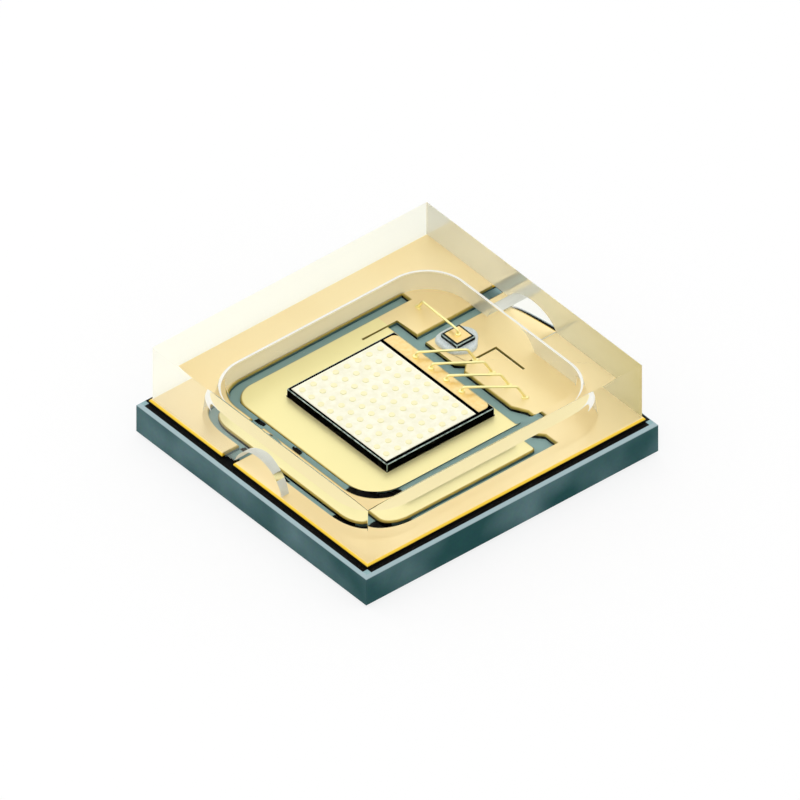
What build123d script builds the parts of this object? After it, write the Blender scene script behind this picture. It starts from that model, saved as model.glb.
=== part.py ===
from build123d import *
import math
import os

# A surface-mount light emitter: a ceramic tile with an etched, gilded copper circuit,
# a large emitter chip wired to it, a small protection diode, and a clear block over all.
# Millimetres, +Z up. The origin is under the middle of the tile, on the solder plane.
# +X runs along the longer side of the tile, from the chip towards the anode.

# Solder pads on the underside
SOLDER_THICKNESS = 0.030
SOLDER_EDGE = 0.200
SOLDER_GAP = 0.350
SOLDER_GAP_OFFSET = 0.130
SOLDER_CORNER = 0.060

# Ceramic tile
TILE_LENGTH = 3.500
TILE_WIDTH = 3.300
TILE_THICKNESS = 0.335
TILE_EDGE_BREAK = 0.030

# Filled vias through the tile
VIA_DIAMETER = 0.150
CATHODE_VIA_PITCH = 0.480
ANODE_VIA_PITCH = 0.400
ANODE_VIA_COUNT = 3

# Copper circuit on top of the tile
METAL_THICKNESS = 0.055
METAL_EDGE = 0.083
FRAME_BAND_LEFT = 0.370
FRAME_BAND_NEAR = 0.392
SLOT_LEFT = 0.137
SLOT_NEAR = 0.092
PAD_CORNER = 0.250
PAD_SMALL_CORNER = 0.050

# Slot between the chip's land and the anode, and the split across the frame band
LAND_SLOT = 0.115
FLARE = 0.080
FLARE_RISE = 0.150
FLARE_START = 0.317
SPLIT = 0.115
SPLIT_BELOW_LAND = 0.447
SLOT_END_BELOW_LAND = 0.160
FAR_SLOT = 0.110
FAR_SLOT_TAIL = 0.285
NEAR_SPLIT = 0.160
NEAR_SPLIT_SHIFT = 0.080

# Fine etched marks
SLIT = 0.022
SLIT_LENGTH = 0.310
NOTCH_DEPTH = 0.074
NOTCH_HEIGHT = 0.140
MARK_WIDTH = 0.024
MARK_START = 0.110
MARK_ARM = 0.345
MARK_LEG = 0.415
MARK_BELOW_SPLIT = 0.487

# Emitter chip and the solder that holds it
CHIP_LENGTH = 1.288
CHIP_WIDTH = 1.439
CHIP_THICKNESS = 0.082
CHIP_SHIFT_X = -0.124
CHIP_SHIFT_Y = -0.0515
CHIP_MARGIN_RIGHT = 0.085
CHIP_MARGIN_FAR = 0.357
ATTACH_THICKNESS = 0.008
ATTACH_FILLET = 0.004

# Layers on top of the chip
COATING = 0.006
STREET_LEFT = 0.027
STREET_RIGHT = 0.012
STREET_NEAR = 0.040
STREET_FAR = 0.035
BAR_WIDTH = 0.142
BAR_GAP = 0.036
BAR_CORNER = 0.060
APERTURE_PITCH = 0.134
APERTURE_DIAMETER = 0.062
APERTURE_SIDES = 10
APERTURE_COLUMNS = 8
APERTURE_ROWS = 10

# Protection diode in its spot of glue
DIODE_LENGTH = 0.225
DIODE_WIDTH = 0.235
DIODE_THICKNESS = 0.064
DIODE_BELOW_SPLIT = 0.192
DIODE_FROM_SLOT = 0.235
DIODE_PAD_RIM = 0.028
GLUE_LAYER = 0.010
GLUE_RADIUS = 0.210
GLUE_TOP_RADIUS = 0.150
GLUE_HEIGHT = 0.040

# Gold bond wires
WIRE_DIAMETER = 0.025
WIRE_SIDES = 10
WIRE_COUNT = 4
BALL_DIAMETER = 0.060
BALL_HEIGHT = 0.016
BALL_PITCH = 0.220
BALL_ROW_SHIFT = -0.0195
FOOT_PITCH = 0.237
FOOT_ROW_SHIFT = -0.330
FOOT_FROM_SLOT = 0.180
FOOT_LENGTH = 0.070
FOOT_WIDTH = 0.036
FOOT_HEIGHT = 0.016
WIRE_LOOP = 0.052
WIRE_LEAD = 0.014
WIRE_DROP = 0.075
WIRE_BEND = 0.030
DIODE_WIRE_LENGTH = 0.610
DIODE_WIRE_DRIFT = 0.030

# Clear block and the bead that bonds it down
BEAD_THICKNESS = 0.010
BEAD_EDGE = 0.012
CAP_EDGE = 0.105
CAP_HEIGHT = 0.610
CAP_EDGE_BREAK = 0.014
CAVITY_WALL_ENDS = 0.2125
CAVITY_WALL_SIDES = 0.2975
CAVITY_SHIFT_X = -0.0475
CAVITY_SHIFT_Y = -0.1075
CAVITY_HEIGHT = 0.275
CAVITY_DRAFT = 6.0
CAVITY_CORNER = 0.460
CAVITY_CEILING_RADIUS = 0.045
VENT_WIDTH = 0.670
VENT_RISE = 0.250
VENT_SHIFT = 0.028

# Heights of the layers, from the solder plane up
TILE_BOTTOM = SOLDER_THICKNESS
METAL_BOTTOM = TILE_BOTTOM + TILE_THICKNESS
METAL_TOP = METAL_BOTTOM + METAL_THICKNESS
CHIP_BOTTOM = METAL_TOP + ATTACH_THICKNESS
CHIP_TOP = CHIP_BOTTOM + CHIP_THICKNESS
COATING_TOP = CHIP_TOP + COATING
DIODE_BOTTOM = METAL_TOP + GLUE_LAYER
DIODE_TOP = DIODE_BOTTOM + DIODE_THICKNESS
CAP_BOTTOM = METAL_TOP + BEAD_THICKNESS

# The chip stands a little off the tile's middle; its land runs from the frame band past it
METAL_HALF_X = TILE_LENGTH / 2 - METAL_EDGE
METAL_HALF_Y = TILE_WIDTH / 2 - METAL_EDGE
CHIP_X0 = CHIP_SHIFT_X - CHIP_LENGTH / 2
CHIP_Y0 = CHIP_SHIFT_Y - CHIP_WIDTH / 2
CHIP_X1 = CHIP_SHIFT_X + CHIP_LENGTH / 2
CHIP_Y1 = CHIP_SHIFT_Y + CHIP_WIDTH / 2
LAND_X0 = -METAL_HALF_X + FRAME_BAND_LEFT + SLOT_LEFT
LAND_Y0 = -METAL_HALF_Y + FRAME_BAND_NEAR + SLOT_NEAR
LAND_X1 = CHIP_X1 + CHIP_MARGIN_RIGHT
LAND_Y1 = CHIP_Y1 + CHIP_MARGIN_FAR

# The anode's left edge, and the split that parts it from the cathode on the right
ANODE_X = LAND_X1 + LAND_SLOT
SPLIT_Y1 = LAND_Y1 - SPLIT_BELOW_LAND
SPLIT_Y0 = SPLIT_Y1 - SPLIT
MARK_Y = SPLIT_Y0 - MARK_BELOW_SPLIT

# The bright field, the bond bar beside it, and the wire row on the bar
BAR_X1 = CHIP_X1 - STREET_RIGHT
BAR_X0 = BAR_X1 - BAR_WIDTH
FIELD_X0 = CHIP_X0 + STREET_LEFT
FIELD_X1 = BAR_X0 - BAR_GAP
FIELD_Y0 = CHIP_Y0 + STREET_NEAR
FIELD_Y1 = CHIP_Y1 - STREET_FAR
BAR_MIDDLE_X = (BAR_X0 + BAR_X1) / 2
FIELD_MIDDLE_X = (FIELD_X0 + FIELD_X1) / 2
FIELD_MIDDLE_Y = (FIELD_Y0 + FIELD_Y1) / 2
BALL_ROW_Y = (CHIP_Y0 + CHIP_Y1) / 2 + BALL_ROW_SHIFT

# The diode, its pad and its wire's far end
DIODE_X = ANODE_X + DIODE_FROM_SLOT
DIODE_Y = SPLIT_Y0 - DIODE_BELOW_SPLIT

# The clear block and its cavity
CAP_LENGTH = TILE_LENGTH - 2 * CAP_EDGE
CAP_WIDTH = TILE_WIDTH - 2 * CAP_EDGE
CAVITY_LENGTH = CAP_LENGTH - 2 * CAVITY_WALL_ENDS
CAVITY_WIDTH = CAP_WIDTH - 2 * CAVITY_WALL_SIDES

BASE = (Align.CENTER, Align.CENTER, Align.MIN)


def rectangle_between(x0, x1, y0, y1):
    """A flat rectangle given by its two corners."""
    return Pos((x0 + x1) / 2, (y0 + y1) / 2) * Rectangle(x1 - x0, y1 - y0)


def slab(sketch, bottom, thickness):
    """A flat outline raised into a plate that starts at the given height."""
    return extrude(Pos(0, 0, bottom) * sketch, amount=thickness)


def solder_gap_middle():
    """The gap between the two solder pads, a little to the right of the land's slot."""
    return (LAND_X1 + ANODE_X) / 2 + SOLDER_GAP_OFFSET


def solder_pad(x0, x1):
    """One plated pad on the underside, which meets the circuit board."""
    half_y = TILE_WIDTH / 2 - SOLDER_EDGE
    outline = rectangle_between(x0, x1, -half_y, half_y)
    outline = fillet(outline.vertices(), SOLDER_CORNER)
    return slab(outline, 0, SOLDER_THICKNESS)


def cathode_solder_pad():
    return solder_pad(-TILE_LENGTH / 2 + SOLDER_EDGE, solder_gap_middle() - SOLDER_GAP / 2)


def anode_solder_pad():
    return solder_pad(solder_gap_middle() + SOLDER_GAP / 2, TILE_LENGTH / 2 - SOLDER_EDGE)


def cathode_via_places():
    """Four vias under the corners of the chip, which also carry its heat down."""
    middle = Pos((CHIP_X0 + CHIP_X1) / 2, (CHIP_Y0 + CHIP_Y1) / 2)
    return [middle * place for place in GridLocations(CATHODE_VIA_PITCH, CATHODE_VIA_PITCH, 2, 2)]


def anode_via_places():
    """A row of vias over the middle of the anode's solder pad, clear of the split."""
    x = (solder_gap_middle() + SOLDER_GAP / 2 + TILE_LENGTH / 2 - SOLDER_EDGE) / 2
    y = MARK_Y - MARK_LEG
    return [Pos(x, y) * place for place in GridLocations(1, ANODE_VIA_PITCH, 1, ANODE_VIA_COUNT)]


def via_plugs(places):
    """Copper cylinders that fill the via holes, flush with both faces of the tile."""
    plug = Pos(0, 0, TILE_BOTTOM) * Cylinder(VIA_DIAMETER / 2, TILE_THICKNESS, align=BASE)
    return [place * plug for place in places]


def ceramic_substrate():
    """The fired tile: its upper edge is broken all round, and the vias are drilled."""
    tile = Pos(0, 0, TILE_BOTTOM) * Box(TILE_LENGTH, TILE_WIDTH, TILE_THICKNESS, align=BASE)
    upper_edges = tile.faces().sort_by(Axis.Z)[-1].edges()
    tile = chamfer(upper_edges, TILE_EDGE_BREAK)
    for plug in via_plugs(cathode_via_places() + anode_via_places()):
        tile -= plug
    return tile


def land_outline():
    """The copper land under the chip: large corners on the left, a small one at the slot."""
    land = rectangle_between(LAND_X0, LAND_X1, LAND_Y0, LAND_Y1)
    left_corners = land.vertices().group_by(Axis.X)[0]
    land = fillet(left_corners, PAD_CORNER)
    slot_corner = land.vertices().group_by(Axis.X)[-1].sort_by(Axis.Y)[0]
    return fillet(slot_corner, PAD_SMALL_CORNER)


def slot_round_land():
    """The etched moat round the land, open to the copper only at its far right corner."""
    moat = rectangle_between(LAND_X0 - SLOT_LEFT, ANODE_X, LAND_Y0 - SLOT_NEAR, LAND_Y1 + FAR_SLOT)
    moat = fillet(moat.vertices().group_by(Axis.X)[0], PAD_CORNER + SLOT_LEFT)
    slot_end = LAND_Y1 - SLOT_END_BELOW_LAND
    bridge = rectangle_between(LAND_X1, ANODE_X, slot_end, LAND_Y1)
    tail = rectangle_between(ANODE_X, ANODE_X + FAR_SLOT_TAIL, LAND_Y1, LAND_Y1 + FAR_SLOT)
    slit = rectangle_between(LAND_X1 - SLIT_LENGTH, LAND_X1, slot_end - SLIT, slot_end)
    return moat - land_outline() - bridge + tail + slit


def slot_flare():
    """The slot widens to the right where it turns the land's near corner."""
    start = LAND_Y0 + FLARE_START
    return Polyline(
        (ANODE_X, start),
        (ANODE_X + FLARE, start - FLARE_RISE),
        (ANODE_X + FLARE, LAND_Y0 - SLOT_NEAR),
        (ANODE_X, LAND_Y0 - SLOT_NEAR),
        close=True,
    )


def frame_splits():
    """The two cuts through the frame band that part the cathode from the anode."""
    right = rectangle_between(ANODE_X, METAL_HALF_X, SPLIT_Y0, SPLIT_Y1)
    near_split_y1 = SPLIT_Y0 + SPLIT / 2 + NEAR_SPLIT / 2 - NEAR_SPLIT_SHIFT
    left = rectangle_between(-METAL_HALF_X, LAND_X0 - SLOT_LEFT, near_split_y1 - NEAR_SPLIT, near_split_y1)
    return right + left


def etched_marks():
    """A notch in the anode's edge and a fine L beside it, for lining the chip up."""
    notch = Polyline(
        (ANODE_X, MARK_Y + NOTCH_HEIGHT / 2),
        (ANODE_X + NOTCH_DEPTH, MARK_Y),
        (ANODE_X, MARK_Y - NOTCH_HEIGHT / 2),
        close=True,
    )
    arm_x0 = ANODE_X + MARK_START
    arm_x1 = arm_x0 + MARK_ARM
    half = MARK_WIDTH / 2
    arm = rectangle_between(arm_x0, arm_x1, MARK_Y - half, MARK_Y + half)
    leg = rectangle_between(arm_x1 - MARK_WIDTH, arm_x1, MARK_Y + half - MARK_LEG, MARK_Y)
    return make_face(notch) + arm + leg


def circuit():
    """The copper circuit: one rectangle cut by the slots into a cathode and an anode."""
    sheet = Rectangle(2 * METAL_HALF_X, 2 * METAL_HALF_Y)
    etched = slot_round_land() + make_face(slot_flare()) + frame_splits() + etched_marks()
    halves = (sheet - etched).faces().sort_by(Axis.Y)
    anode, cathode = halves[0], halves[-1]
    return slab(cathode, METAL_BOTTOM, METAL_THICKNESS), slab(anode, METAL_BOTTOM, METAL_THICKNESS)


def die_attach():
    """The thin solder under the chip, squeezed out a little past it."""
    outline = rectangle_between(
        CHIP_X0 - ATTACH_FILLET, CHIP_X1 + ATTACH_FILLET,
        CHIP_Y0 - ATTACH_FILLET, CHIP_Y1 + ATTACH_FILLET,
    )
    outline = fillet(outline.vertices(), ATTACH_FILLET)
    return slab(outline, METAL_TOP, ATTACH_THICKNESS)


def emitter_chip():
    return slab(rectangle_between(CHIP_X0, CHIP_X1, CHIP_Y0, CHIP_Y1), CHIP_BOTTOM, CHIP_THICKNESS)


def chip_bright_field():
    """The pale coating over the emitting area."""
    return slab(rectangle_between(FIELD_X0, FIELD_X1, FIELD_Y0, FIELD_Y1), CHIP_TOP, COATING)


def chip_bond_bar():
    """The gold bar that the wires are bonded to, rounded at its outer corners."""
    bar = rectangle_between(BAR_X0, BAR_X1, FIELD_Y0, FIELD_Y1)
    bar = fillet(bar.vertices().group_by(Axis.X)[-1], BAR_CORNER)
    return slab(bar, CHIP_TOP, COATING)


def emitter_apertures():
    """The grid of round windows that the light leaves by, one disc for each."""
    disc = extrude(RegularPolygon(APERTURE_DIAMETER / 2, APERTURE_SIDES), amount=COATING)
    middle = Pos(FIELD_MIDDLE_X, FIELD_MIDDLE_Y, COATING_TOP)
    grid = GridLocations(APERTURE_PITCH, APERTURE_PITCH, APERTURE_COLUMNS, APERTURE_ROWS)
    return [middle * place * disc for place in grid]


def protection_diode():
    return Pos(DIODE_X, DIODE_Y, DIODE_BOTTOM) * Box(DIODE_LENGTH, DIODE_WIDTH, DIODE_THICKNESS, align=BASE)


def diode_top_pad():
    """The square contact on the diode, set in from its edges."""
    length = DIODE_LENGTH - 2 * DIODE_PAD_RIM
    width = DIODE_WIDTH - 2 * DIODE_PAD_RIM
    return Pos(DIODE_X, DIODE_Y, DIODE_TOP) * Box(length, width, COATING, align=BASE)


def diode_glue():
    """A low mound of conductive glue, with the foot of the diode sunk into it."""
    mound = Cone(GLUE_RADIUS, GLUE_TOP_RADIUS, GLUE_HEIGHT, align=BASE)
    return Pos(DIODE_X, DIODE_Y, METAL_TOP) * mound - protection_diode()


def bond_wire(start, end, floor_start, floor_end):
    """A wire with a ball at its start, a low flat loop, and a pressed foot at its end."""
    run = Vector(end[0] - start[0], end[1] - start[1])
    along = run.normalized()
    loop_z = floor_start + WIRE_LOOP
    lead = Vector(*start) + along * WIRE_LEAD
    drop = Vector(*end) - along * WIRE_DROP
    centre_line = FilletPolyline(
        (start[0], start[1], floor_start + BALL_HEIGHT / 2),
        (lead.X, lead.Y, loop_z),
        (drop.X, drop.Y, loop_z - WIRE_DIAMETER / 2),
        (end[0], end[1], floor_end + WIRE_DIAMETER / 2),
        radius=WIRE_BEND,
    )
    across = Plane(origin=centre_line @ 0, z_dir=centre_line % 0)
    section = across * RegularPolygon(WIRE_DIAMETER / 2, WIRE_SIDES)
    tube = sweep(section, path=centre_line)
    ball = Pos(start[0], start[1], floor_start) * Cylinder(BALL_DIAMETER / 2, BALL_HEIGHT, align=BASE)
    turn = math.degrees(math.atan2(along.Y, along.X))
    foot_outline = Pos(end[0], end[1], floor_end) * Rot(0, 0, turn) * SlotOverall(FOOT_LENGTH, FOOT_WIDTH)
    foot = extrude(foot_outline, amount=FOOT_HEIGHT)
    return tube + ball + foot


def chip_wires():
    """The wires from the bond bar down to the anode, side by side and slightly skewed."""
    wires = []
    for index in range(WIRE_COUNT):
        step = (WIRE_COUNT - 1) / 2 - index
        ball = (BAR_MIDDLE_X, BALL_ROW_Y + step * BALL_PITCH)
        foot = (ANODE_X + FOOT_FROM_SLOT, BALL_ROW_Y + FOOT_ROW_SHIFT + step * FOOT_PITCH)
        wires.append(bond_wire(ball, foot, COATING_TOP, METAL_TOP))
    return wires


def diode_wire():
    """The diode's wire, over the split to the cathode copper."""
    ball = (DIODE_X, DIODE_Y)
    foot = (DIODE_X + DIODE_WIRE_DRIFT, DIODE_Y + DIODE_WIRE_LENGTH)
    return bond_wire(ball, foot, DIODE_TOP + COATING, METAL_TOP)


def cavity_outline(inset=0):
    """The cavity seen from below: its open foot, or the same outline set in all round."""
    outline = RectangleRounded(
        CAVITY_LENGTH - 2 * inset, CAVITY_WIDTH - 2 * inset, CAVITY_CORNER - inset
    )
    return Pos(CAVITY_SHIFT_X, CAVITY_SHIFT_Y) * outline


def cavity():
    """The moulded hollow: its walls lean in by the draft and turn softly into the ceiling."""
    inset = CAVITY_HEIGHT * math.tan(math.radians(CAVITY_DRAFT))
    foot = Pos(0, 0, CAP_BOTTOM) * cavity_outline()
    ceiling = Pos(0, 0, CAP_BOTTOM + CAVITY_HEIGHT) * cavity_outline(inset)
    hollow = loft([foot, ceiling])
    return fillet(hollow.faces().sort_by(Axis.Z)[-1].edges(), CAVITY_CEILING_RADIUS)


def clear_cap():
    """The moulded block: polished top, hollow underneath, and an arched vent at each end."""
    block = Pos(0, 0, CAP_BOTTOM) * Box(CAP_LENGTH, CAP_WIDTH, CAP_HEIGHT, align=BASE)
    sharp_edges = block.edges().filter_by(Axis.Z) + block.faces().sort_by(Axis.Z)[-1].edges()
    block = chamfer(sharp_edges, CAP_EDGE_BREAK)
    arch_radius = ((VENT_WIDTH / 2) ** 2 + VENT_RISE ** 2) / (2 * VENT_RISE)
    arch_z = CAP_BOTTOM + VENT_RISE - arch_radius
    vent = Pos(0, VENT_SHIFT, arch_z) * Rot(0, 90, 0) * Cylinder(arch_radius, TILE_LENGTH)
    return block - cavity() - vent


def cap_adhesive():
    """The clear bead under the block's foot, left open at both vents."""
    outer = Rectangle(CAP_LENGTH - 2 * BEAD_EDGE, CAP_WIDTH - 2 * BEAD_EDGE)
    vents = Pos(0, VENT_SHIFT) * Rectangle(TILE_LENGTH, VENT_WIDTH)
    halves = (outer - cavity_outline() - vents).faces()
    return [slab(half, METAL_TOP, BEAD_THICKNESS) for half in halves]


def write_step(name, shape):
    """Write one node, either a single solid or a group of separate ones."""
    solids = shape if isinstance(shape, list) else [shape]
    group = Compound(children=[solid for item in solids for solid in item.solids()])
    export_step(group if len(group.solids()) > 1 else group.solids()[0], f"parts/{name}.step")


os.makedirs("parts", exist_ok=True)
cathode_copper, anode_copper = circuit()
write_step("cathode_solder_pad", cathode_solder_pad())
write_step("anode_solder_pad", anode_solder_pad())
write_step("ceramic_substrate", ceramic_substrate())
write_step("cathode_vias", via_plugs(cathode_via_places()))
write_step("anode_vias", via_plugs(anode_via_places()))
write_step("cathode_circuit", cathode_copper)
write_step("anode_circuit", anode_copper)
write_step("die_attach", die_attach())
write_step("emitter_chip", emitter_chip())
write_step("chip_bright_field", chip_bright_field())
write_step("chip_bond_bar", chip_bond_bar())
write_step("emitter_apertures", emitter_apertures())
write_step("protection_diode", protection_diode())
write_step("diode_top_pad", diode_top_pad())
write_step("diode_glue", diode_glue())
write_step("diode_wire", diode_wire())
for number, wire in enumerate(chip_wires(), start=1):
    write_step(f"bond_wire_{number}", wire)
write_step("cap_adhesive", cap_adhesive())
write_step("clear_cap", clear_cap())
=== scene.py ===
import math

import bmesh
import bpy
from mathutils import Matrix, Vector


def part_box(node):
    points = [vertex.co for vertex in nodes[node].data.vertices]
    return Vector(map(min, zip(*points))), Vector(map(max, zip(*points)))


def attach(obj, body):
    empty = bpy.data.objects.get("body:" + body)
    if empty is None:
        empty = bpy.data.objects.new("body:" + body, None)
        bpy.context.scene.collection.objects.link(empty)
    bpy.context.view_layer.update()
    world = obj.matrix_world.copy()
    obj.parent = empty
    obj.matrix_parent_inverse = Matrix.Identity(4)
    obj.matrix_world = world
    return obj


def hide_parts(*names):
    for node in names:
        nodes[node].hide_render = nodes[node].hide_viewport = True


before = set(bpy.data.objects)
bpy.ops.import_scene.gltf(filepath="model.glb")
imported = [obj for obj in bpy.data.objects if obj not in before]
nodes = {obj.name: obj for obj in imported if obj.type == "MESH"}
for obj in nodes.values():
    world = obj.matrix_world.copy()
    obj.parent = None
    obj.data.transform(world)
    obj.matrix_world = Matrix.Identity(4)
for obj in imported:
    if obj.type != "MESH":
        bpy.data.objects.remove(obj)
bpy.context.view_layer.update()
MM = 0.001

# The ceramic tile under everything: aluminium nitride, pressed and fired, then snapped
# from a larger sheet along scribed lines. Its upper edge is broken by a small chamfer,
# which carries a painted highlight; its top is painted paler, a painted gloss, and a black
# line of painted shadow lies on it round the foot of the copper.


def linear(hex_colour):
    """Turn an sRGB colour such as #4A7575 into the linear values that a shader takes."""
    digits = hex_colour.lstrip("#")
    channels = [int(digits[i:i + 2], 16) / 255 for i in (0, 2, 4)]
    return [c / 12.92 if c <= 0.04045 else ((c + 0.055) / 1.055) ** 2.4 for c in channels] + [1.0]


def add(tree, kind, inputs=None, **settings):
    """Add a node, set its properties, and set or link its inputs."""
    made = tree.nodes.new(kind)
    for name, value in settings.items():
        setattr(made, name, value)
    for socket, value in (inputs or {}).items():
        if isinstance(value, bpy.types.NodeSocket):
            tree.links.new(value, made.inputs[socket])
        else:
            made.inputs[socket].default_value = value
    return made


def new_material(name):
    """Start a material and give back its node tree and its principled shader."""
    material = bpy.data.materials.new(name)
    material.use_nodes = True
    return material, material.node_tree, material.node_tree.nodes["Principled BSDF"]


def coat(piece, *materials):
    """Put materials into a piece's slots, in place of what it had."""
    piece.data.materials.clear()
    for material in materials:
        piece.data.materials.append(material)


def corners(node):
    """The lowest and the highest corner of a CAD node's box, in metres."""
    return [Vector(corner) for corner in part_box(node)]


FIRED_GRAIN = 0.035
FIRING_CLOUD = 0.9
# how far under the top face the painted highlight of the broken edge and the painted gloss
# of the top begin, and fade in
CHAMFER = 0.036
CHAMFER_FADE = 0.010
TOP_SKIN = 0.003
TOP_FADE = 0.002
tile_high = corners("ceramic_substrate")[1]
copper_low, copper_high = corners("anode_circuit")
copper_far = corners("cathode_circuit")[1].y

ceramic, tree, shader = new_material("fired aluminium nitride ceramic")
place = add(tree, "ShaderNodeTexCoord")
# the fired grain makes it matt; it is too fine to show, so it is drawn about ten times coarser
grain = add(tree, "ShaderNodeTexNoise", {
    "Vector": place.outputs["Object"], "Scale": 1 / (FIRED_GRAIN * MM),
    "Detail": 4.0, "Roughness": 0.6,
})
# the firing has left it cloudy, in patches of about half a millimetre
cloud = add(tree, "ShaderNodeTexNoise", {
    "Vector": place.outputs["Object"], "Scale": 1 / (FIRING_CLOUD * MM),
    "Detail": 2.0, "Roughness": 0.5,
})
tone = add(tree, "ShaderNodeValToRGB", {"Fac": cloud.outputs["Fac"]})
tone.color_ramp.elements[0].position = 0.38
tone.color_ramp.elements[0].color = linear("#134243")
tone.color_ramp.elements[1].position = 0.74
tone.color_ramp.elements[1].color = linear("#5A767A")
speckle = add(tree, "ShaderNodeMix", {
    "Factor": 0.22, "A": tone.outputs["Color"], "B": grain.outputs["Color"],
}, data_type="RGBA", blend_type="OVERLAY")
place_xyz = add(tree, "ShaderNodeSeparateXYZ", {"Vector": place.outputs["Object"]})
# the broken edge is painted paler: a painted highlight along it
edge_band = add(tree, "ShaderNodeMapRange", {
    "Value": place_xyz.outputs["Z"],
    "From Min": tile_high.z - CHAMFER * MM,
    "From Max": tile_high.z - (CHAMFER - CHAMFER_FADE) * MM,
})
top_face = add(tree, "ShaderNodeMapRange", {
    "Value": place_xyz.outputs["Z"],
    "From Min": tile_high.z - TOP_SKIN * MM,
    "From Max": tile_high.z - (TOP_SKIN - TOP_FADE) * MM,
})
painted_edge_highlight = add(tree, "ShaderNodeMix", {
    "Factor": edge_band.outputs["Result"], "A": speckle.outputs["Result"], "B": linear("#9DB2B6"),
}, data_type="RGBA")
# the top face, slot floors included, is painted paler: a painted gloss
painted_top_gloss = add(tree, "ShaderNodeMix", {
    "Factor": top_face.outputs["Result"], "A": painted_edge_highlight.outputs["Result"], "B": linear("#8FAEB2"),
}, data_type="RGBA")
# a painted contact shadow: a black line on the top, outside the copper and in line with one
# of its sides
within_x = add(tree, "ShaderNodeMath", {
    0: place_xyz.outputs["X"], 1: 0.0, 2: copper_high.x,
}, operation="COMPARE")
within_y = add(tree, "ShaderNodeMath", {
    0: place_xyz.outputs["Y"], 1: 0.0, 2: copper_far,
}, operation="COMPARE")
one_side = add(tree, "ShaderNodeMath", {
    0: within_x.outputs["Value"], 1: within_y.outputs["Value"],
}, operation="SUBTRACT")
beside = add(tree, "ShaderNodeMath", {0: one_side.outputs["Value"]}, operation="ABSOLUTE")
painted_contact_shadow = add(tree, "ShaderNodeMath", {
    0: beside.outputs["Value"], 1: top_face.outputs["Result"],
}, operation="MULTIPLY")
# ragged black patches of painted shadow, given here by middle and reach: round the near
# corner of the slot, two on its left arm, and at the left split
PAINTED_SHADOWS = ((-1.19, -1.06, 0.30), (-1.23, 0.46, 0.065), (-1.24, -0.07, 0.065), (-1.67, 0.44, 0.13))
SHADOW_FADE = 0.06
RAGGEDNESS = 0.14
RAG_SPACING = 0.09
rag = add(tree, "ShaderNodeTexNoise", {
    "Vector": place.outputs["Object"], "Scale": 1 / (RAG_SPACING * MM),
})
ragged = add(tree, "ShaderNodeVectorMath", {
    0: rag.outputs["Color"],
    1: Vector((RAGGEDNESS, RAGGEDNESS, 0)) * MM,
    2: place.outputs["Object"],
}, operation="MULTIPLY_ADD")
shadowed_top = painted_top_gloss
for x, y, reach in PAINTED_SHADOWS:
    offset = add(tree, "ShaderNodeVectorMath", {
        0: ragged.outputs["Vector"],
        1: Vector((x + RAGGEDNESS / 2, y + RAGGEDNESS / 2, tile_high.z / MM)) * MM,
    }, operation="DISTANCE")
    shadow_patch = add(tree, "ShaderNodeMapRange", {
        "Value": offset.outputs["Value"],
        "From Min": reach * (1 - SHADOW_FADE) * MM, "From Max": reach * MM,
        "To Min": 1.0, "To Max": 0.0,
    })
    on_top = add(tree, "ShaderNodeMath", {
        0: shadow_patch.outputs["Result"], 1: top_face.outputs["Result"],
    }, operation="MULTIPLY")
    shadowed_top = add(tree, "ShaderNodeMix", {
        "Factor": on_top.outputs["Value"], "A": shadowed_top.outputs["Result"], "B": linear("#050606"),
    }, data_type="RGBA")
# the painted contact shadow goes over everything in near black
finish = add(tree, "ShaderNodeMix", {
    "Factor": painted_contact_shadow.outputs["Value"], "A": shadowed_top.outputs["Result"], "B": linear("#020202"),
}, data_type="RGBA")
tree.links.new(finish.outputs["Result"], shader.inputs["Base Color"])
shader.inputs["Roughness"].default_value = 0.6
shader.inputs["Specular IOR Level"].default_value = 0.12
relief = add(tree, "ShaderNodeBump", {
    "Height": grain.outputs["Fac"], "Strength": 0.25, "Distance": 0.002 * MM,
})
tree.links.new(relief.outputs["Normal"], shader.inputs["Normal"])
coat(nodes["ceramic_substrate"], ceramic)

# The two solder pads on the underside and the filled vias above them: copper, plated
# with nickel and a thin gold, so that solder wets them. The vias are hidden in the tile.
PLATING_NODULE = 0.02
VIA_GRAIN = 0.03

# soft plating looks satin and yellow; its nodules are drawn several times coarser, to show
solder_gold, tree, shader = new_material("soft gold plating on nickel and copper")
place = add(tree, "ShaderNodeTexCoord")
nodules = add(tree, "ShaderNodeTexNoise", {
    "Vector": place.outputs["Object"], "Scale": 1 / (PLATING_NODULE * MM), "Detail": 3.0,
})
plating = add(tree, "ShaderNodeValToRGB", {"Fac": nodules.outputs["Fac"]})
plating.color_ramp.elements[0].color = linear("#E9C77E")
plating.color_ramp.elements[1].color = linear("#F6DC9C")
tree.links.new(plating.outputs["Color"], shader.inputs["Base Color"])
shader.inputs["Metallic"].default_value = 1.0
shader.inputs["Roughness"].default_value = 0.36
relief = add(tree, "ShaderNodeBump", {
    "Height": nodules.outputs["Fac"], "Strength": 0.3, "Distance": 0.002 * MM,
})
tree.links.new(relief.outputs["Normal"], shader.inputs["Normal"])
for name in ("cathode_solder_pad", "anode_solder_pad"):
    coat(nodes[name], solder_gold)

# plated copper looks salmon pink and grainy; the grain is drawn coarser, to show
via_copper, tree, shader = new_material("plated copper via fill")
place = add(tree, "ShaderNodeTexCoord")
grains = add(tree, "ShaderNodeTexVoronoi", {
    "Vector": place.outputs["Object"], "Scale": 1 / (VIA_GRAIN * MM),
})
fill_tone = add(tree, "ShaderNodeValToRGB", {"Fac": grains.outputs["Distance"]})
fill_tone.color_ramp.elements[0].color = linear("#C98A62")
fill_tone.color_ramp.elements[1].color = linear("#DDA57E")
tree.links.new(fill_tone.outputs["Color"], shader.inputs["Base Color"])
shader.inputs["Metallic"].default_value = 1.0
shader.inputs["Roughness"].default_value = 0.4
for name in ("cathode_vias", "anode_vias"):
    coat(nodes[name], via_copper)
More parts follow.
